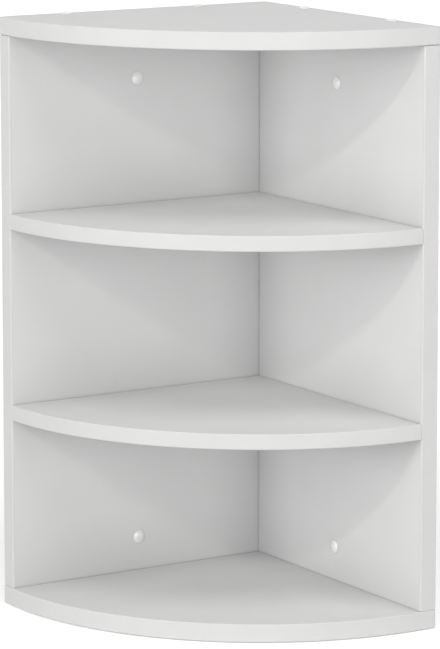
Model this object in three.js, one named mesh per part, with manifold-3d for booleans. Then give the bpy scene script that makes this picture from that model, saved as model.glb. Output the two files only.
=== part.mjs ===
// Quarter-round corner shelf unit of white melamine-faced board: a top board and a
// bottom board that cover two side panels, and two shelves set between the panels.
// Millimetres, +Z up. Everything is drawn from the back corner, where the two side
// panels meet: X runs along the right-hand wall and -Y along the left-hand wall. The
// last group then moves the whole unit so that its origin is under its middle.
import * as THREE from "three";
import { mergeVertices } from "three/addons/utils/BufferGeometryUtils.js";
import Module from "manifold-3d";

// The unit as a whole
const boardReach = 300; // from either wall to the front of the top and bottom boards
const upperHeight = 170; // clear height of each compartment
const middleHeight = 170;
const lowerHeight = 165;
const topThickness = 17;
const shelfThickness = 15;
const bottomThickness = 18;
const panelThickness = 18;
const straightRun = 20; // straight bit at each end of a board's front, before the curve
const frontSetBack = 0.8; // panel and shelf fronts behind the fronts of the top and bottom boards

// The edge band glued on every front
const bandThickness = 2;
const bandTrim = 0.5; // the bottom board's band ends this far above its underside

// The screws that hold the boards
const screwLength = 50;
const screwRadius = 3.3;
const screwHeadRadius = 4.7;
const screwHeadHeight = 2.6;
const screwHeadSink = 0.3; // head below the surface
const screwTipLength = 4;
const screwTipRadius = 1.6;
const socketRadius = 2.3; // hexagon socket in the head, measured to its corners
const socketDepth = 3;
const nearScrewPlace = 84; // screws in a row along each panel, from the back corner
const farScrewPlace = 232;

// The holes that the unit is screwed to the wall through
const wallHoleRadius = 4;
const leftWallHolePlace = 158; // from the back corner
const rightWallHolePlace = 154;
const upperWallHoleDrop = 48.6; // below the top board
const lowerWallHoleRise = 33; // above the bottom board

// The white caps over the holes and the upper screws
const wallCapRadius = 6.75;
const wallCapStemLength = 8;
const topCapRadius = 5.9;
const topCapStemRadius = 1.6;
const topCapStemLength = 2.4;
const capHeight = 2.3;
const capRimHeight = 0.5;

// Fits and fineness
const clearance = 0.3; // round anything that sits in a hole
const overrun = 1; // how far a cut runs out past the surface
const curveSteps = 44;
const roundSides = 12;
const capSides = 16;
const domeSteps = 3;

const undersideOfTop = bottomThickness + lowerHeight + shelfThickness + middleHeight + shelfThickness + upperHeight;
const lowerShelfLevel = bottomThickness + lowerHeight;
const upperShelfLevel = lowerShelfLevel + shelfThickness + middleHeight;
const overallHeight = undersideOfTop + topThickness;
const innerReach = boardReach - frontSetBack; // from either wall to the front of a panel or shelf

const boardLook = new THREE.MeshStandardMaterial({ color: 0xf2f2f0, roughness: 0.5, metalness: 0 });
const bandLook = new THREE.MeshStandardMaterial({ color: 0xf5f5f3, roughness: 0.4, metalness: 0 });
const capLook = new THREE.MeshStandardMaterial({ color: 0xf6f6f4, roughness: 0.35, metalness: 0 });
const screwLook = new THREE.MeshStandardMaterial({ color: 0xb9bcc0, roughness: 0.35, metalness: 1 });

const wasm = await Module();
wasm.setup();

function toSolid(geometry) {
  const plain = geometry.clone();
  plain.deleteAttribute("normal");
  plain.deleteAttribute("uv");
  const merged = mergeVertices(plain);
  return new wasm.Manifold(new wasm.Mesh({
    numProp: 3,
    vertProperties: Float32Array.from(merged.attributes.position.array),
    triVerts: Uint32Array.from(merged.index.array),
  }));
}

function toGeometry(solid) {
  const mesh = solid.getMesh();
  const geometry = new THREE.BufferGeometry();
  geometry.setAttribute("position", new THREE.BufferAttribute(Float32Array.from(mesh.vertProperties), 3));
  geometry.setIndex(new THREE.BufferAttribute(Uint32Array.from(mesh.triVerts), 1));
  return geometry;
}

// Takes each cutter out of a geometry. The cutters stand in the same frame as it.
function cutOut(geometry, cutters) {
  let solid = toSolid(geometry);
  for (const cutter of cutters) solid = solid.subtract(toSolid(cutter));
  return toGeometry(solid);
}

const at = (x, y) => new THREE.Vector2(x, y);

// Turns an outline in radius and height into a closed round body about Z.
function turned(outline, sides) {
  return new THREE.LatheGeometry(outline, sides).rotateX(Math.PI / 2);
}

// A board's front line from its right end to its left: straight, a quarter circle,
// straight. It starts and ends at the given distance from the two walls.
function frontLine(reach, start) {
  const radius = reach - straightRun;
  const points = start < straightRun ? [at(reach, -start)] : [];
  for (let i = 0; i <= curveSteps; i++) {
    const angle = (Math.PI / 2) * (i / curveSteps);
    points.push(at(straightRun + radius * Math.cos(angle), -straightRun - radius * Math.sin(angle)));
  }
  if (start < straightRun) points.push(at(start, -reach));
  return points;
}

function plate(points, thickness) {
  return new THREE.ExtrudeGeometry(new THREE.Shape(points), { depth: thickness, bevelEnabled: false });
}

// The wooden part of a quarter-round board, up to its edge band.
function boardPlate(reach, start, thickness) {
  return plate([at(start, -start), ...frontLine(reach - bandThickness, start)], thickness);
}

// The edge band on a quarter-round board's front.
function bandPlate(reach, start, height) {
  return plate([...frontLine(reach, start), ...frontLine(reach - bandThickness, start).reverse()], height);
}

function block(sizeX, sizeY, sizeZ) {
  return new THREE.BoxGeometry(sizeX, sizeY, sizeZ).translate(sizeX / 2, -sizeY / 2, sizeZ / 2);
}

// A screw's outline, with its head at the top and its tip pointing down. The surface
// it is driven into is at height zero.
function screwOutline(grow, top) {
  const head = -screwHeadSink;
  return [
    at(0, -screwLength - grow),
    at(screwTipRadius + grow, -screwLength - grow),
    at(screwRadius + grow, -screwLength + screwTipLength),
    at(screwRadius + grow, head - screwHeadHeight),
    at(screwHeadRadius + grow, head),
    ...(top > head ? [at(screwHeadRadius + grow, top)] : []),
    at(0, Math.max(top, head)),
  ];
}

const screwBody = turned(screwOutline(0, -screwHeadSink), roundSides);
const screwCutter = turned(screwOutline(clearance, overrun), roundSides);
const socketHeight = socketDepth + overrun;
const socketCutter = new THREE.CylinderGeometry(socketRadius, socketRadius, socketHeight, 6)
  .rotateX(Math.PI / 2)
  .translate(0, 0, -screwHeadSink - socketDepth + socketHeight / 2);
const screwGeometry = cutOut(screwBody, [socketCutter]);

// A cap: a low dome on a stem. Its underside lies on the surface at height zero.
function capGeometry(radius, stemRadius, stemLength) {
  const outline = [at(0, -stemLength), at(stemRadius, -stemLength), at(stemRadius, 0), at(radius, 0)];
  for (let i = 0; i < domeSteps; i++) {
    const angle = (Math.PI / 2) * (i / domeSteps);
    outline.push(at(radius * Math.cos(angle), capRimHeight + (capHeight - capRimHeight) * Math.sin(angle)));
  }
  outline.push(at(0, capHeight));
  return turned(outline, capSides);
}

const topCapGeometry = capGeometry(topCapRadius, topCapStemRadius, topCapStemLength);
const wallCapGeometry = capGeometry(wallCapRadius, wallHoleRadius - clearance, wallCapStemLength);
const holeLength = panelThickness + 2 * overrun;
const wallHoleCutter = new THREE.CylinderGeometry(wallHoleRadius, wallHoleRadius, holeLength, roundSides)
  .rotateX(Math.PI / 2)
  .translate(0, 0, -panelThickness / 2);

const unit = new THREE.Group();

function add(name, geometry, look, x = 0, y = 0, z = 0, turn = null) {
  const mesh = new THREE.Mesh(geometry, look);
  mesh.name = name;
  mesh.position.set(x, y, z);
  if (turn) mesh.rotation.set(...turn);
  mesh.updateMatrix();
  unit.add(mesh);
  return mesh;
}

// Ways in which a screw or a cap can face. Its head or dome looks along the name.
const lookUp = [0, 0, 0];
const lookDown = [Math.PI, 0, 0];
const lookLeft = [0, -Math.PI / 2, 0];
const lookBack = [-Math.PI / 2, 0, 0];
const lookRight = [0, Math.PI / 2, 0];
const lookFront = [Math.PI / 2, 0, 0];

// Cuts the hole for each fixing that was added into a board.
function drill(board, fixings, cutter) {
  const toBoard = board.matrix.clone().invert();
  const cutters = fixings.map((f) => cutter.clone().applyMatrix4(toBoard.clone().multiply(f.matrix)));
  board.geometry = cutOut(board.geometry, cutters);
}

const topBoard = add("top_board", boardPlate(boardReach, 0, topThickness), boardLook, 0, 0, undersideOfTop);
const bottomBoard = add("bottom_board", boardPlate(boardReach, 0, bottomThickness), boardLook);
const shelfPlate = boardPlate(innerReach, panelThickness, shelfThickness);
const upperShelf = add("upper_shelf", shelfPlate, boardLook, 0, 0, upperShelfLevel);
const lowerShelf = add("lower_shelf", shelfPlate, boardLook, 0, 0, lowerShelfLevel);

// The left panel runs into the back corner, and the right one butts against it.
const panelHeight = undersideOfTop - bottomThickness;
const leftPanel = add("left_side_panel", block(panelThickness, innerReach - bandThickness, panelHeight),
  boardLook, 0, 0, bottomThickness);
const rightPanel = add("right_side_panel",
  block(innerReach - bandThickness - panelThickness, panelThickness, panelHeight),
  boardLook, panelThickness, 0, bottomThickness);

add("top_board_edge_band", bandPlate(boardReach, 0, topThickness), bandLook, 0, 0, undersideOfTop);
add("bottom_board_edge_band", bandPlate(boardReach, 0, bottomThickness - bandTrim), bandLook, 0, 0, bandTrim);
const shelfBand = bandPlate(innerReach, panelThickness, shelfThickness);
add("upper_shelf_edge_band", shelfBand, bandLook, 0, 0, upperShelfLevel);
add("lower_shelf_edge_band", shelfBand, bandLook, 0, 0, lowerShelfLevel);
add("left_panel_edge_band", block(panelThickness, bandThickness, panelHeight), bandLook,
  0, bandThickness - innerReach, bottomThickness);
add("right_panel_edge_band", block(bandThickness, panelThickness, panelHeight), bandLook,
  innerReach - bandThickness, 0, bottomThickness);

const screwPlaces = [["near", nearScrewPlace], ["far", farScrewPlace]];
const midPanel = panelThickness / 2;

// Screws down through the top board and up through the bottom board, into the panels.
for (const [label, place] of screwPlaces) {
  for (const [side, panel, x, y] of [
    ["left", leftPanel, midPanel, -place],
    ["right", rightPanel, place, -midPanel],
  ]) {
    const upper = add(`top_screw_${side}_${label}`, screwGeometry, screwLook, x, y, overallHeight, lookUp);
    add(`top_cap_${side}_${label}`, topCapGeometry, capLook, x, y, overallHeight, lookUp);
    const lower = add(`bottom_screw_${side}_${label}`, screwGeometry, screwLook, x, y, 0, lookDown);
    drill(topBoard, [upper], screwCutter);
    drill(bottomBoard, [lower], screwCutter);
    drill(panel, [upper, lower], screwCutter);
  }
}

// Screws through the panels from outside, into the edges of the shelves.
for (const [shelfName, shelf, level] of [
  ["upper_shelf", upperShelf, upperShelfLevel],
  ["lower_shelf", lowerShelf, lowerShelfLevel],
]) {
  const z = level + shelfThickness / 2;
  for (const [label, place] of screwPlaces) {
    const left = add(`${shelfName}_screw_left_${label}`, screwGeometry, screwLook, 0, -place, z, lookLeft);
    const right = add(`${shelfName}_screw_right_${label}`, screwGeometry, screwLook, place, 0, z, lookBack);
    drill(shelf, [left, right], screwCutter);
    drill(leftPanel, [left], screwCutter);
    drill(rightPanel, [right], screwCutter);
  }
}

// Screws through the left panel into the back end of the right one, one a compartment.
for (const [label, z] of [
  ["lower", bottomThickness + lowerHeight / 2],
  ["middle", lowerShelfLevel + shelfThickness + middleHeight / 2],
  ["upper", undersideOfTop - upperHeight / 2],
]) {
  const screw = add(`corner_screw_${label}`, screwGeometry, screwLook, 0, -midPanel, z, lookLeft);
  drill(leftPanel, [screw], screwCutter);
  drill(rightPanel, [screw], screwCutter);
}

// Wall holes, each closed on the inside by a cap.
for (const [label, z] of [
  ["upper", undersideOfTop - upperWallHoleDrop],
  ["lower", bottomThickness + lowerWallHoleRise],
]) {
  const left = add(`wall_cap_left_${label}`, wallCapGeometry, capLook,
    panelThickness, -leftWallHolePlace, z, lookRight);
  const right = add(`wall_cap_right_${label}`, wallCapGeometry, capLook,
    rightWallHolePlace, -panelThickness, z, lookFront);
  drill(leftPanel, [left], wallHoleCutter);
  drill(rightPanel, [right], wallHoleCutter);
}

unit.position.set(-boardReach / 2, boardReach / 2, 0);

const shelfUnit = new THREE.Group();
shelfUnit.add(unit);

export default shelfUnit;
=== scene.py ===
from math import cos, pi, radians, sin, tau

import bmesh
import bpy
from mathutils import Matrix, Vector


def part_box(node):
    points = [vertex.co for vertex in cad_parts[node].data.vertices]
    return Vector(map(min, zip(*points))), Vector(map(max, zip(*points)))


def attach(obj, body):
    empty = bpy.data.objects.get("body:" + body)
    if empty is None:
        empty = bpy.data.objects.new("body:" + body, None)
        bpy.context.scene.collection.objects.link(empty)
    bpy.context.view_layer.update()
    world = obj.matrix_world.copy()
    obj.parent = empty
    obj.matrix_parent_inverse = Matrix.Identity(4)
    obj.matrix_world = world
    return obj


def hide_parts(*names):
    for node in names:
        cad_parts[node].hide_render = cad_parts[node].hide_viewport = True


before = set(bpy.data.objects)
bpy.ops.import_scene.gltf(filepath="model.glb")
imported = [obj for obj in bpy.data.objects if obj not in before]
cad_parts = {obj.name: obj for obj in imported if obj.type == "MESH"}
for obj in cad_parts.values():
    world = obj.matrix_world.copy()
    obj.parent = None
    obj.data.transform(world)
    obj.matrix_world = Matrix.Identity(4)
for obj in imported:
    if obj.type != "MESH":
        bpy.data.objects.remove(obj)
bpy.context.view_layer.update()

MM = 0.001
TINY = 0.1 * MM             # for telling which corners lie on a front or in a socket
TOUCHING = 0.002 * MM       # corners this close are made one
CREASE = radians(38)        # an edge that bends more is shaded sharp
SQUARE = 1.0                # radians; every edge that gets rounded bends more
FACE_WEIGHT = 90            # how strongly large faces set the shading of rounded edges

# Boards and edge bands. The rest of their sizes comes from the boxes of the solids.
STRAIGHT_RUN = 20 * MM      # straight bit at each end of a board's front
CURVE_STEPS = 120
BAND = 2 * MM               # thickness of the edge band
BAND_ARRIS = 1.2 * MM       # rounding of the band's outer edges
BAND_ARRIS_STEPS = 5
BOARD_ARRIS = 0.45 * MM     # the melamine's own crisp edges
BOARD_ARRIS_STEPS = 3
CORNER_TURN = 2.5 * MM      # rounding of the top and bottom boards' end corners, seen from above
CORNER_STEPS = 8
PANEL_GAP = 0.2 * MM        # hairline gap above and below a side panel
BAND_GAP = 0.4 * MM         # and above and below its edge band
SHELF_GAP = 0.4 * MM        # and between a shelf and the side panels

# Screws
SCREW_STEPS = 36
HEAD_RADIUS, HEAD_HEIGHT, HEAD_SINK = 4.7 * MM, 2.6 * MM, 0.3 * MM
HEAD_CHAMFER = 0.12 * MM                        # round the head's top
HEAD_LIP, HEAD_LIP_DEPTH = 0.1 * MM, 0.25 * MM  # where the cone under the head ends
SHANK_RADIUS, SCREW_LENGTH, TIP_LENGTH, TIP_RADIUS = 3.3 * MM, 49.7 * MM, 4 * MM, 1.6 * MM
SOCKET_RADIUS, SOCKET_DEPTH, SOCKET_CONE, SOCKET_CHAMFER = 2.3 * MM, 3 * MM, 0.7 * MM, 0.15 * MM
THREAD_PITCH, THREAD_DEPTH = 2.6 * MM, 0.8 * MM
THREAD_SHARES = (0.45, 0.62, 0.68, 0.95)        # of a pitch: foot, two sides of the crest, foot
SMOOTH_SHANK, SHANK_STEP = 14 * MM, 1 * MM      # bare part with the head, and the step below it

# Caps
CAP_STEPS = 48
CAP_HEIGHT, CAP_RIM = 2.3 * MM, 0.5 * MM
CAP_CHAMFER, CAP_CHAMFER_HEIGHT = 0.25 * MM, 0.22 * MM
DOME_STEPS, DOME_START, DOME_STEP = 9, 0.98, 0.11       # shares of the cap's radius
DOME_POWER = 2.6            # the higher, the flatter the dome's middle
TOP_CAP = (5.9 * MM, 1.6 * MM, 2.4 * MM)        # radius, and the stem's radius and length
WALL_CAP = (6.5 * MM, 3.7 * MM, 8 * MM)
STEM_TIP, STEM_CORE = 0.75, 0.92                # shares of a stem's radius
TAPER_END, RIBS, RIB_LENGTH = 0.85, (0.78, 0.52, 0.26), 0.14    # shares of its length

# Holes
HOLE_STEPS = 32
HOLE_CLEARANCE = 0.3 * MM
HOLE_OVERRUN = 2 * MM       # how far a cutter stands out of the face
WALL_HOLE_RADIUS = 4 * MM

# Colours, each between two near shades
BOARD_WHITE = (0.815, 0.815, 0.817), (0.831, 0.831, 0.833)
BAND_WHITE = (0.766, 0.766, 0.766), (0.780, 0.780, 0.780)
CAP_WHITE = (0.955, 0.955, 0.952), (0.972, 0.972, 0.969)
ZINC_GREY = (0.50, 0.51, 0.53), (0.68, 0.69, 0.72)
CHIP_BROWN = (0.34, 0.22, 0.12), (0.62, 0.46, 0.29)
# Painted shade: the melamine's colour darkens in its inner corners and along its joints
CORNER_REACH, CORNER_PAINTED_SHADE = 60 * MM, 0.25
JOINT_REACH, JOINT_PAINTED_SHADE = 2.5 * MM, 0.25

# Studio, in metres
FLOOR_REACH = 12
FLOOR_DROP = 0.3 * MM       # keeps the floor just clear of the underside
FLOOR_CLEAR = 1 * MM        # whatever lies nearer than this sees through the floor
FLOOR_PAINT = 0.86
NEAR_WHITE = 0.45           # strength of the floor's white near the unit
FADE_START, FADE_END = 0.5, 3.0         # between these it rises to full white
WORLD_STRENGTH = 0.22
LAMP_AIM = Vector((0, 0, 0.3))
LAMP_AWAY = 4.5
LAMP_CLEAR = 0.05           # least gap between a lamp and the floor
CAMERA_PLACE = (2.8602, -1.7914, 0.8991)
CAMERA_DOWN, CAMERA_ROUND = 8.714, 57.893       # degrees
CAMERA_LENS, CAMERA_SHIFT, CAMERA_REACH = 201.34, -0.16, 40


# Materials

def new_material(name):
    material = bpy.data.materials.new(name)
    material.use_nodes = True
    nodes = material.node_tree.nodes
    return material, nodes, material.node_tree.links, nodes["Principled BSDF"]


def noise(nodes, links, scale, detail):
    texture = nodes.new("ShaderNodeTexNoise")
    texture.inputs["Scale"].default_value = scale
    texture.inputs["Detail"].default_value = detail
    links.new(nodes.new("ShaderNodeTexCoord").outputs["Object"], texture.inputs["Vector"])
    return texture.outputs["Fac"]


def ramp(nodes, links, factor, shades, start=0.35, end=0.65):
    node = nodes.new("ShaderNodeValToRGB")
    for element, position, shade in zip(node.color_ramp.elements, (start, end), shades):
        element.position = position
        element.color = (*shade, 1)
    links.new(factor, node.inputs["Fac"])
    return node.outputs["Color"]


def spread(nodes, links, value, low, high, start=0, end=1):
    node = nodes.new("ShaderNodeMapRange")
    for label, number in zip(("From Min", "From Max", "To Min", "To Max"), (start, end, low, high)):
        node.inputs[label].default_value = number
    links.new(value, node.inputs["Value"])
    return node.outputs["Result"]


def bump(nodes, links, shader, height, strength, distance):
    node = nodes.new("ShaderNodeBump")
    node.inputs["Strength"].default_value = strength
    node.inputs["Distance"].default_value = distance
    links.new(height, node.inputs["Height"])
    links.new(node.outputs["Normal"], shader.inputs["Normal"])


def calculate(nodes, links, operation, first, second):
    """Work on two values, each a number or a node's output."""
    node = nodes.new("ShaderNodeMath")
    node.operation = operation
    for socket, value in zip(node.inputs, (first, second)):
        if isinstance(value, float):
            socket.default_value = value
        else:
            links.new(value, socket)
    return node.outputs["Value"]


def painted_shade(nodes, links, colour, reach, darkening):
    """Darken a colour where faces meet within reach: painted shade in corners and along joints,
    where less light gets in.
    """
    corners = nodes.new("ShaderNodeAmbientOcclusion")
    corners.samples = 4
    corners.inputs["Distance"].default_value = reach
    darker = nodes.new("ShaderNodeVectorMath")
    darker.operation = "SCALE"
    links.new(colour, darker.inputs[0])
    brightness = spread(nodes, links, corners.outputs["AO"], low=1 - darkening, high=1)
    links.new(brightness, darker.inputs["Scale"])
    return darker.outputs["Vector"]


def melamine_material():
    material, nodes, links, shader = new_material("white_melamine")
    white = ramp(nodes, links, noise(nodes, links, scale=14, detail=4), BOARD_WHITE)
    # painted shade, darker in the inner corners and along the joints
    shaded_corners = painted_shade(nodes, links, white, CORNER_REACH, CORNER_PAINTED_SHADE)
    shaded_joints = painted_shade(nodes, links, shaded_corners, JOINT_REACH, JOINT_PAINTED_SHADE)
    links.new(shaded_joints, shader.inputs["Base Color"])
    grain = noise(nodes, links, scale=1500, detail=2)
    links.new(spread(nodes, links, grain, low=0.48, high=0.60), shader.inputs["Roughness"])
    shader.inputs["Specular IOR Level"].default_value = 0.25
    bump(nodes, links, shader, grain, strength=0.12, distance=0.04 * MM)
    return material


def band_material():
    material, nodes, links, shader = new_material("white_edge_band")
    white = ramp(nodes, links, noise(nodes, links, scale=30, detail=3), BAND_WHITE)
    links.new(white, shader.inputs["Base Color"])
    grain = noise(nodes, links, scale=1800, detail=2)
    links.new(spread(nodes, links, grain, low=0.40, high=0.50), shader.inputs["Roughness"])
    shader.inputs["Specular IOR Level"].default_value = 0.35
    bump(nodes, links, shader, grain, strength=0.10, distance=0.03 * MM)
    return material


def cap_material():
    material, nodes, links, shader = new_material("white_moulded_cap")
    white = ramp(nodes, links, noise(nodes, links, scale=120, detail=2), CAP_WHITE)
    links.new(white, shader.inputs["Base Color"])
    grain = noise(nodes, links, scale=2600, detail=2)
    links.new(spread(nodes, links, grain, low=0.16, high=0.22), shader.inputs["Roughness"])
    shader.inputs["Specular IOR Level"].default_value = 0.9
    shader.inputs["Coat Weight"].default_value = 0.5
    shader.inputs["Coat Roughness"].default_value = 0.12
    bump(nodes, links, shader, grain, strength=0.08, distance=0.02 * MM)
    return material


def screw_material():
    material, nodes, links, shader = new_material("zinc_plated_steel")
    cloud = noise(nodes, links, scale=400, detail=4)
    links.new(ramp(nodes, links, cloud, ZINC_GREY), shader.inputs["Base Color"])
    links.new(spread(nodes, links, cloud, low=0.28, high=0.46), shader.inputs["Roughness"])
    shader.inputs["Metallic"].default_value = 1.0
    bump(nodes, links, shader, cloud, strength=0.10, distance=0.05 * MM)
    return material


def chipboard_material():
    material, nodes, links, shader = new_material("chipboard_core")
    chips = nodes.new("ShaderNodeTexVoronoi")
    chips.inputs["Scale"].default_value = 900
    links.new(nodes.new("ShaderNodeTexCoord").outputs["Object"], chips.inputs["Vector"])
    brown = ramp(nodes, links, chips.outputs["Color"], CHIP_BROWN, start=0.2, end=0.8)
    links.new(brown, shader.inputs["Base Color"])
    shader.inputs["Roughness"].default_value = 0.85
    bump(nodes, links, shader, chips.outputs["Distance"], strength=0.5, distance=0.3 * MM)
    return material


MELAMINE = melamine_material()
EDGE_BAND = band_material()
CAP = cap_material()
ZINC = screw_material()
CHIPBOARD = chipboard_material()


# Shaping the boards and bands

def place(bm, name, node, material):
    """Make a bmesh a piece that stands for a node of the solids."""
    bmesh.ops.recalc_face_normals(bm, faces=bm.faces)
    for face in bm.faces:
        face.smooth = True
    for edge in bm.edges:
        edge.smooth = edge.is_manifold and edge.calc_face_angle(0) < CREASE
    mesh = bpy.data.meshes.new(name)
    bm.to_mesh(mesh)
    bm.free()
    mesh.materials.append(material)
    piece = bpy.data.objects.new(name, mesh)
    bpy.context.scene.collection.objects.link(piece)
    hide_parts(node)
    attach(piece, "root")
    return piece


def even_shading(piece):
    weights = piece.modifiers.new("even_shading", "WEIGHTED_NORMAL")
    weights.keep_sharp = True
    weights.weight = FACE_WEIGHT


def sweep_round(bm, vert, centre, steps):
    """Sweep a vertex a quarter turn, clockwise from above. Gives the vertex at the end."""
    swept = bmesh.ops.spin(bm, geom=[vert], cent=centre, axis=(0, 0, 1), angle=-pi / 2,
                           steps=steps, use_merge=False)
    return next(v for v in swept["geom_last"] if isinstance(v, bmesh.types.BMVert))


def front_line(bm, corner, reach, start, z, inset=0):
    """Draw a board's front, from its right end to its left. Gives the two ends.

    It is straight, a quarter circle, straight. A board that runs to the walls also turns
    its two end corners round. The inset moves the whole line back, as behind a band."""
    reach -= inset
    begin = bm.verts.new((corner.x + reach, corner.y - STRAIGHT_RUN, z))
    middle = (corner.x + STRAIGHT_RUN, corner.y - STRAIGHT_RUN, z)
    finish = sweep_round(bm, begin, middle, CURVE_STEPS)
    if start:
        right = bm.verts.new((corner.x + reach, corner.y - start, z))
        left = bm.verts.new((corner.x + start, corner.y - reach, z))
        bm.edges.new((right, begin))
        bm.edges.new((finish, left))
        return right, left
    turn = reach + inset - CORNER_TURN
    right = bm.verts.new((corner.x + turn, corner.y - inset, z))
    middle = (corner.x + turn, corner.y - CORNER_TURN, z)
    turned_right = sweep_round(bm, right, middle, CORNER_STEPS)
    bm.edges.new((turned_right, begin))
    turned_left = bm.verts.new((corner.x + CORNER_TURN, corner.y - reach, z))
    bm.edges.new((finish, turned_left))
    middle = (corner.x + CORNER_TURN, corner.y - turn, z)
    left = sweep_round(bm, turned_left, middle, CORNER_STEPS)
    return right, left


def raise_by(bm, geometry, height):
    verts = [v for v in geometry if isinstance(v, bmesh.types.BMVert)]
    bmesh.ops.translate(bm, verts=verts, vec=(0, 0, height))


def soften(bm, edges, offset, steps):
    bmesh.ops.bevel(bm, geom=edges, offset=offset, offset_type="OFFSET", affect="EDGES",
                    segments=steps, profile=0.5, material=-1)


def rise_of(edge):
    return abs(edge.verts[0].co.z - edge.verts[1].co.z)


def round_board(name, corner, start):
    """The melamine board behind a curved edge band."""
    low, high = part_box(name)
    bm = bmesh.new()
    right, left = front_line(bm, corner, high.x - corner.x + BAND, start, low.z, BAND)
    apex = bm.verts.new((corner.x + start, corner.y - start, low.z))
    backs = [left, apex, right]
    if not start:
        backs.insert(1, bm.verts.new((corner.x, left.co.y, low.z)))
        backs.insert(3, bm.verts.new((right.co.x, corner.y, low.z)))
    for a, b in zip(backs, backs[1:]):
        bm.edges.new((a, b))
    bmesh.ops.contextual_create(bm, geom=bm.edges[:])
    grown = bmesh.ops.extrude_face_region(bm, geom=bm.faces[:])
    raise_by(bm, grown["geom"], high.z - low.z)
    bmesh.ops.recalc_face_normals(bm, faces=bm.faces)
    at_back = [e for e in bm.edges if e.calc_face_angle(0) > SQUARE
               and (all(v.co.x < corner.x + start + BAND / 2 for v in e.verts)
                    or all(v.co.y > corner.y - start - BAND / 2 for v in e.verts))]
    soften(bm, at_back, BOARD_ARRIS, BOARD_ARRIS_STEPS)
    return place(bm, name + "_melamine", name, MELAMINE)


def round_band(name, corner, start):
    """The edge band on a curved front, with its outer edges rounded."""
    low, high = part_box(name)
    bm = bmesh.new()
    front_line(bm, corner, high.x - corner.x, start, low.z)
    grown = bmesh.ops.extrude_edge_only(bm, edges=bm.edges[:])
    raise_by(bm, grown["geom"], high.z - low.z)
    bmesh.ops.recalc_face_normals(bm, faces=bm.faces)
    outward = bm.faces[0].calc_center_median() - Vector((*corner, low.z))
    if bm.faces[0].normal.dot(outward) < 0:
        bmesh.ops.reverse_faces(bm, faces=bm.faces)
    outer = set(bm.verts)
    bmesh.ops.solidify(bm, geom=bm.faces[:], thickness=BAND)
    bmesh.ops.recalc_face_normals(bm, faces=bm.faces)
    arrises = [e for e in bm.edges
               if outer.issuperset(e.verts) and e.calc_face_angle(0) > SQUARE and rise_of(e) < BAND]
    soften(bm, arrises, BAND_ARRIS, BAND_ARRIS_STEPS)
    even_shading(place(bm, name + "_strip", name, EDGE_BAND))


def upright(name, front, gap):
    """A block in a side panel's place, short of the boards above and below by the gap.

    Gives it with the vertices of its front, which looks along the given direction."""
    low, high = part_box(name)
    low.z += gap
    high.z -= gap
    bm = bmesh.new()
    bmesh.ops.create_cube(bm, size=1)
    bmesh.ops.scale(bm, verts=bm.verts, vec=high - low)
    bmesh.ops.translate(bm, verts=bm.verts, vec=(low + high) / 2)
    reach = max(v.co.dot(front) for v in bm.verts)
    return bm, {v for v in bm.verts if v.co.dot(front) > reach - TINY}


def straight_band(name, front):
    """The edge band on a side panel's front."""
    bm, on_front = upright(name, front, BAND_GAP)
    arrises = [e for e in bm.edges if on_front.issuperset(e.verts) and rise_of(e) > BAND]
    soften(bm, arrises, BAND_ARRIS, BAND_ARRIS_STEPS)
    even_shading(place(bm, name + "_strip", name, EDGE_BAND))


def side_panel(name, front):
    """The melamine board behind a straight edge band. Its edges at the band stay square."""
    bm, on_front = upright(name, front, PANEL_GAP)
    behind = [e for e in bm.edges if on_front.isdisjoint(e.verts)]
    soften(bm, behind, BOARD_ARRIS, BOARD_ARRIS_STEPS)
    return place(bm, name + "_melamine", name, MELAMINE)


# Screws, caps and their holes

def turned(outline, steps):
    """Turn an outline of radius and height about Z into a closed body."""
    bm = bmesh.new()
    verts = [bm.verts.new((r, 0, z)) for r, z in outline]
    for a, b in zip(verts, verts[1:]):
        bm.edges.new((a, b))
    bmesh.ops.spin(bm, geom=bm.verts[:] + bm.edges[:], cent=(0, 0, 0), axis=(0, 0, 1), angle=tau,
                   steps=steps, use_merge=True)
    bmesh.ops.remove_doubles(bm, verts=bm.verts, dist=TOUCHING)
    return bm


def screw_outline():
    core = SHANK_RADIUS - THREAD_DEPTH
    z = TIP_LENGTH - SCREW_LENGTH
    points = [(0, -SCREW_LENGTH), (TIP_RADIUS, -SCREW_LENGTH), (core, z)]
    while z + THREAD_PITCH < -SMOOTH_SHANK:
        for radius, share in zip((core, SHANK_RADIUS, SHANK_RADIUS, core), THREAD_SHARES):
            points.append((radius, z + THREAD_PITCH * share))
        z += THREAD_PITCH
    return points + [
        (core, -SMOOTH_SHANK - SHANK_STEP), (SHANK_RADIUS, -SMOOTH_SHANK),
        (SHANK_RADIUS, -HEAD_HEIGHT), (HEAD_RADIUS - HEAD_LIP, -HEAD_LIP_DEPTH),
        (HEAD_RADIUS, -HEAD_CHAMFER), (HEAD_RADIUS - HEAD_CHAMFER, 0),
        (SOCKET_RADIUS + SOCKET_CHAMFER, 0), (SOCKET_RADIUS, -SOCKET_CHAMFER),
        (SOCKET_RADIUS, -SOCKET_DEPTH), (0, -SOCKET_DEPTH - SOCKET_CONE)]


def screw_body():
    """A screw along Z, head up, whose round socket is drawn in to six flats."""
    bm = turned(screw_outline(), SCREW_STEPS)
    flat = tau / 6
    for vert in bm.verts:
        in_socket = TINY < vert.co.xy.length < SOCKET_RADIUS + SOCKET_CHAMFER + TINY
        if in_socket and vert.co.z > -SOCKET_DEPTH - TINY:
            from_middle = vert.co.xy.angle_signed(Vector((1, 0))) % flat - flat / 2
            vert.co.xy *= cos(flat / 2) / cos(from_middle)
    return bm


def hole_outline(radius, length, sunk_head):
    """The outline of a cutter along Z, whose upper end stands out of the face.

    A screw's hole widens to take its sunk head."""
    end = -length - HOLE_CLEARANCE
    points = [(0, end), (radius, end), (radius, -HEAD_HEIGHT)]
    if sunk_head:
        radius = HEAD_RADIUS + HOLE_CLEARANCE
        points.append((radius, 0))
    return points + [(radius, HOLE_OVERRUN), (0, HOLE_OVERRUN)]


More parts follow.
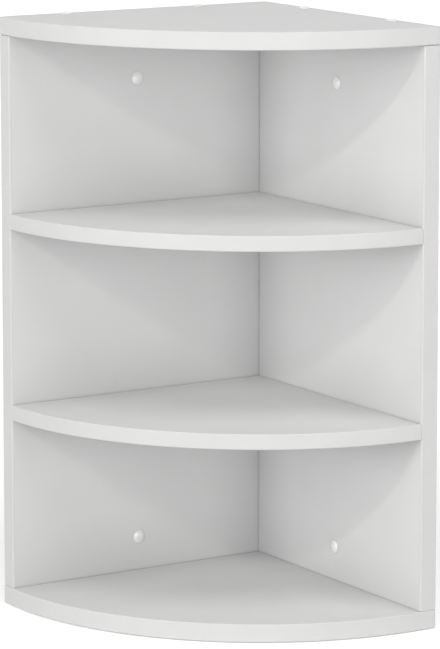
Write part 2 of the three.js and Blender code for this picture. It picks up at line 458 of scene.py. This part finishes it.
def cap_outline(radius, stem_radius, stem_length):
    """A low dome on a ribbed stem that points down."""
    tip, core = stem_radius * STEM_TIP, stem_radius * STEM_CORE
    points = [(0, -stem_length), (tip, -stem_length), (core, -stem_length * TAPER_END)]
    for share in RIBS:
        points += [(stem_radius, -stem_length * share), (core, -stem_length * (share - RIB_LENGTH))]
    points += [(core, 0), (radius - CAP_CHAMFER, 0), (radius, CAP_CHAMFER_HEIGHT)]
    for step in range(DOME_STEPS):
        share = DOME_START - DOME_STEP * step
        rise = (CAP_HEIGHT - CAP_RIM) * (1 - share ** DOME_POWER)
        points.append((radius * share, CAP_RIM + rise))
    return points + [(0, CAP_HEIGHT)]


TURNS = {
    "up": Matrix.Identity(3),
    "down": Matrix.Rotation(pi, 3, "X"),
    "left": Matrix.Rotation(-pi / 2, 3, "Y"),
    "right": Matrix.Rotation(pi / 2, 3, "Y"),
    "back": Matrix.Rotation(-pi / 2, 3, "X"),
    "front": Matrix.Rotation(pi / 2, 3, "X"),
}


def seat(node, way, rise):
    """Where a fixing of this node sits: its turn and the point on the board's face.

    The fixing's outermost point lies at rise above that face."""
    low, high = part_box(node)
    turn = TURNS[way]
    outward = turn @ Vector((0, 0, 1))
    reach = abs((high - low).dot(outward)) / 2
    return Matrix.Translation((low + high) / 2 + outward * (reach - rise)) @ turn.to_4x4()


def add_fixing(bm, node, way, rise, material):
    bmesh.ops.transform(bm, matrix=seat(node, way, rise), verts=bm.verts)
    even_shading(place(bm, node + "_turned", node, material))


def drill(board, cuts):
    """Cut a hole through a board for each outline and seat, lined with chipboard."""
    bm = bmesh.new()
    mesh = bpy.data.meshes.new("cutters")
    for outline, matrix in cuts:
        cutter = turned(outline, HOLE_STEPS)
        bmesh.ops.transform(cutter, matrix=matrix, verts=cutter.verts)
        bmesh.ops.recalc_face_normals(cutter, faces=cutter.faces)
        cutter.to_mesh(mesh)
        cutter.free()
        bm.from_mesh(mesh)
    bm.to_mesh(mesh)
    bm.free()
    mesh.materials.append(CHIPBOARD)
    cutters = bpy.data.objects.new("cutters", mesh)
    bpy.context.scene.collection.objects.link(cutters)
    hole = board.modifiers.new("holes", "BOOLEAN")
    hole.operation = "DIFFERENCE"
    hole.solver = "EXACT"
    hole.material_mode = "TRANSFER"
    hole.object = cutters
    whole = board.data
    graph = bpy.context.evaluated_depsgraph_get()
    board.data = bpy.data.meshes.new_from_object(board.evaluated_get(graph))
    board.data.name = whole.name
    board.modifiers.remove(hole)
    bpy.data.objects.remove(cutters)
    bpy.data.meshes.remove(mesh)
    bpy.data.meshes.remove(whole)


# The shelf unit

low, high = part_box("left_side_panel")
corner = Vector((low.x, high.y))
panel = high.x - low.x
# How far in from the walls a board starts, and where a panel's front looks
starts = {"top_board": 0, "bottom_board": 0,
          "upper_shelf": panel + SHELF_GAP, "lower_shelf": panel + SHELF_GAP}
fronts = {"left": Vector((0, -1, 0)), "right": Vector((1, 0, 0))}
boards = {name: round_board(name, corner, start) for name, start in starts.items()}
for side, front in fronts.items():
    boards[f"{side}_side_panel"] = side_panel(f"{side}_side_panel", front)
for name, start in starts.items():
    round_band(f"{name}_edge_band", corner, start)
for side, front in fronts.items():
    straight_band(f"{side}_panel_edge_band", front)

cuts = {name: [] for name in boards}
SCREW_HOLE = hole_outline(SHANK_RADIUS + HOLE_CLEARANCE, SCREW_LENGTH + HEAD_SINK, sunk_head=True)
WALL_HOLE = hole_outline(WALL_HOLE_RADIUS, panel + MM, sunk_head=False)


def add_screw(node, way, *holders):
    add_fixing(screw_body(), node, way, 0, ZINC)
    for holder in holders:
        cuts[holder].append((SCREW_HOLE, seat(node, way, -HEAD_SINK)))


def add_cap(node, way, sizes):
    add_fixing(turned(cap_outline(*sizes), CAP_STEPS), node, way, CAP_HEIGHT, CAP)


for side, outside, inside in (("left", "left", "right"), ("right", "back", "front")):
    panel_name = f"{side}_side_panel"
    for label in ("near", "far"):
        add_screw(f"top_screw_{side}_{label}", "up", "top_board", panel_name)
        add_screw(f"bottom_screw_{side}_{label}", "down", "bottom_board", panel_name)
        for shelf in ("upper_shelf", "lower_shelf"):
            add_screw(f"{shelf}_screw_{side}_{label}", outside, shelf, panel_name)
        add_cap(f"top_cap_{side}_{label}", "up", TOP_CAP)
    for label in ("upper", "lower"):
        node = f"wall_cap_{side}_{label}"
        add_cap(node, inside, WALL_CAP)
        cuts[panel_name].append((WALL_HOLE, seat(node, inside, CAP_HEIGHT)))
for label in ("lower", "middle", "upper"):
    add_screw(f"corner_screw_{label}", "left", "left_side_panel", "right_side_panel")

for name, board in boards.items():
    drill(board, cuts[name])
    even_shading(board)


# Floor, light and camera

def seen_directly(nodes, links):
    """1 for a ray from the camera, a reflection or a refraction, else 0."""
    path = nodes.new("ShaderNodeLightPath").outputs
    either = calculate(nodes, links, "MAXIMUM", path["Is Camera Ray"], path["Is Glossy Ray"])
    return calculate(nodes, links, "MAXIMUM", either, path["Is Transmission Ray"])


def floor_material():
    """Pale matt paint that looks white to the camera.

    The white eases off near the unit, so that its shadow stays. The floor is clear from
    below, and to what lies on it, so that the unit's underside can be seen."""
    material, nodes, links, shader = new_material("studio_white")
    nodes.remove(shader)
    paint = nodes.new("ShaderNodeBsdfDiffuse")
    paint.inputs["Color"].default_value = (FLOOR_PAINT, FLOOR_PAINT, FLOOR_PAINT, 1)
    away = nodes.new("ShaderNodeVectorMath")
    away.operation = "LENGTH"
    links.new(nodes.new("ShaderNodeTexCoord").outputs["Object"], away.inputs[0])
    white = spread(nodes, links, away.outputs["Value"], NEAR_WHITE, 1, FADE_START, FADE_END)
    glow = nodes.new("ShaderNodeEmission")
    strength = calculate(nodes, links, "MULTIPLY", white, seen_directly(nodes, links))
    links.new(strength, glow.inputs["Strength"])
    both = nodes.new("ShaderNodeAddShader")
    links.new(paint.outputs[0], both.inputs[0])
    links.new(glow.outputs[0], both.inputs[1])

    length = nodes.new("ShaderNodeLightPath").outputs["Ray Length"]
    lying_on_it = calculate(nodes, links, "LESS_THAN", length, FLOOR_CLEAR)
    from_below = nodes.new("ShaderNodeNewGeometry").outputs["Backfacing"]
    clear = nodes.new("ShaderNodeMixShader")
    links.new(calculate(nodes, links, "MAXIMUM", from_below, lying_on_it), clear.inputs["Fac"])
    links.new(both.outputs[0], clear.inputs[1])
    links.new(nodes.new("ShaderNodeBsdfTransparent").outputs[0], clear.inputs[2])
    links.new(clear.outputs[0], nodes["Material Output"].inputs["Surface"])
    return material


def add_floor():
    bm = bmesh.new()
    bmesh.ops.create_grid(bm, x_segments=1, y_segments=1, size=FLOOR_REACH)
    bmesh.ops.translate(bm, verts=bm.verts, vec=(0, 0, -FLOOR_DROP))
    mesh = bpy.data.meshes.new("floor")
    bm.to_mesh(mesh)
    bm.free()
    mesh.materials.append(floor_material())
    floor = bpy.data.objects.new("floor", mesh)
    bpy.context.scene.collection.objects.link(floor)


def set_world(strength):
    """A dim white all round that looks full white to the camera."""
    world = bpy.data.worlds.new("studio")
    bpy.context.scene.world = world
    world.use_nodes = True
    nodes, links = world.node_tree.nodes, world.node_tree.links
    nodes.clear()
    mix = nodes.new("ShaderNodeMixShader")
    links.new(seen_directly(nodes, links), mix.inputs["Fac"])
    for socket, brightness in ((1, strength), (2, 1)):
        background = nodes.new("ShaderNodeBackground")
        background.inputs["Color"].default_value = (1, 1, 1, 1)
        background.inputs["Strength"].default_value = brightness
        links.new(background.outputs[0], mix.inputs[socket])
    links.new(mix.outputs[0], nodes.new("ShaderNodeOutputWorld").inputs["Surface"])


def add_lamp(name, azimuth, elevation, size, power, away=LAMP_AWAY, colour=(1, 1, 1)):
    """A lamp round about the unit, aimed at its middle. Azimuth and elevation are in degrees."""
    azimuth, elevation = radians(azimuth), radians(elevation)
    way = Vector((sin(azimuth) * cos(elevation), -cos(azimuth) * cos(elevation), sin(elevation)))
    lamp = bpy.data.lights.new(name, "AREA")
    lamp.shape = "RECTANGLE"
    lamp.size, lamp.size_y = size
    lamp.energy = power
    lamp.color = colour
    piece = bpy.data.objects.new(name, lamp)
    bpy.context.scene.collection.objects.link(piece)
    piece.location = LAMP_AIM + way * away
    piece.location.z = max(piece.location.z, size[1] / 2 + LAMP_CLEAR)
    piece.rotation_euler = way.to_track_quat("Z", "Y").to_euler()


def add_camera():
    data = bpy.data.cameras.new("camera")
    data.sensor_fit = "AUTO"
    data.sensor_width = 36
    data.lens = CAMERA_LENS
    data.shift_y = CAMERA_SHIFT
    data.clip_end = CAMERA_REACH
    camera = bpy.data.objects.new("camera", data)
    bpy.context.scene.collection.objects.link(camera)
    camera.location = CAMERA_PLACE
    camera.rotation_euler = (radians(90 - CAMERA_DOWN), 0, radians(CAMERA_ROUND))
    bpy.context.scene.camera = camera


BIG, LOW_WIDE = (2.0, 2.0), (2.0, 0.9)
add_floor()
set_world(WORLD_STRENGTH)
add_lamp("small_key", 23.2, 31.8, (0.4, 0.4), 80, away=9, colour=(1, 0.99, 0.86))
add_lamp("low_left", -2, 4, LOW_WIDE, 30)
add_lamp("front_left", 28, 20, BIG, 28.5)
add_lamp("front", 58, 20, BIG, 20)
add_lamp("low_right", 88, 4, LOW_WIDE, 20)
add_lamp("far_right", 118, 40, BIG, 35)
add_lamp("overhead", 58, 62, BIG, 41)
add_lamp("behind", -122, 30, BIG, 7.5)
add_lamp("back_left", -90, 4, LOW_WIDE, 20)
add_lamp("back_right", 180, 4, LOW_WIDE, 20)
add_camera()
bpy.context.scene.view_settings.view_transform = "Standard"
